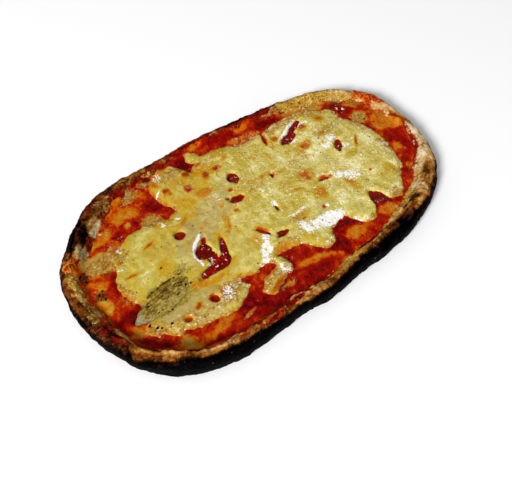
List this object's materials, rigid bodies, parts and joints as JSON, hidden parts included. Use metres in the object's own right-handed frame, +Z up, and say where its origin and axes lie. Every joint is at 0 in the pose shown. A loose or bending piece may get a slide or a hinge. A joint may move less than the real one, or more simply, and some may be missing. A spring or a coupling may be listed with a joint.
{
  "type": "margherita pizza",
  "caption": "Whole baked margherita pizza, hand stretched to a long oval, with a charred raised rim, tomato sauce, melted mozzarella and a baked basil leaf.",
  "frame": {"origin": "near the middle of the oval, on the flat underside, where the pizza rests", "axes": "+Z up out of the toppings, +X along the oval, towards the end without the leaf"},
  "size_m": [0.3427, 0.1995, 0.0225],
  "materials": {
    "baked_dough": "matt floury dough, brown to charred black on the rim",
    "tomato_sauce": "oily, wet and slightly lumpy",
    "melted_cheese": "glossy melted cheese with oil on it",
    "baked_leaf": "dried olive leaf, a little oily"
  },
  "bodies": {
    "root": {"crust": "baked_dough", "tomato_sauce": "tomato_sauce", "mozzarella": "melted_cheese", "basil_leaf": "baked_leaf"}
  },
  "joints": []
}
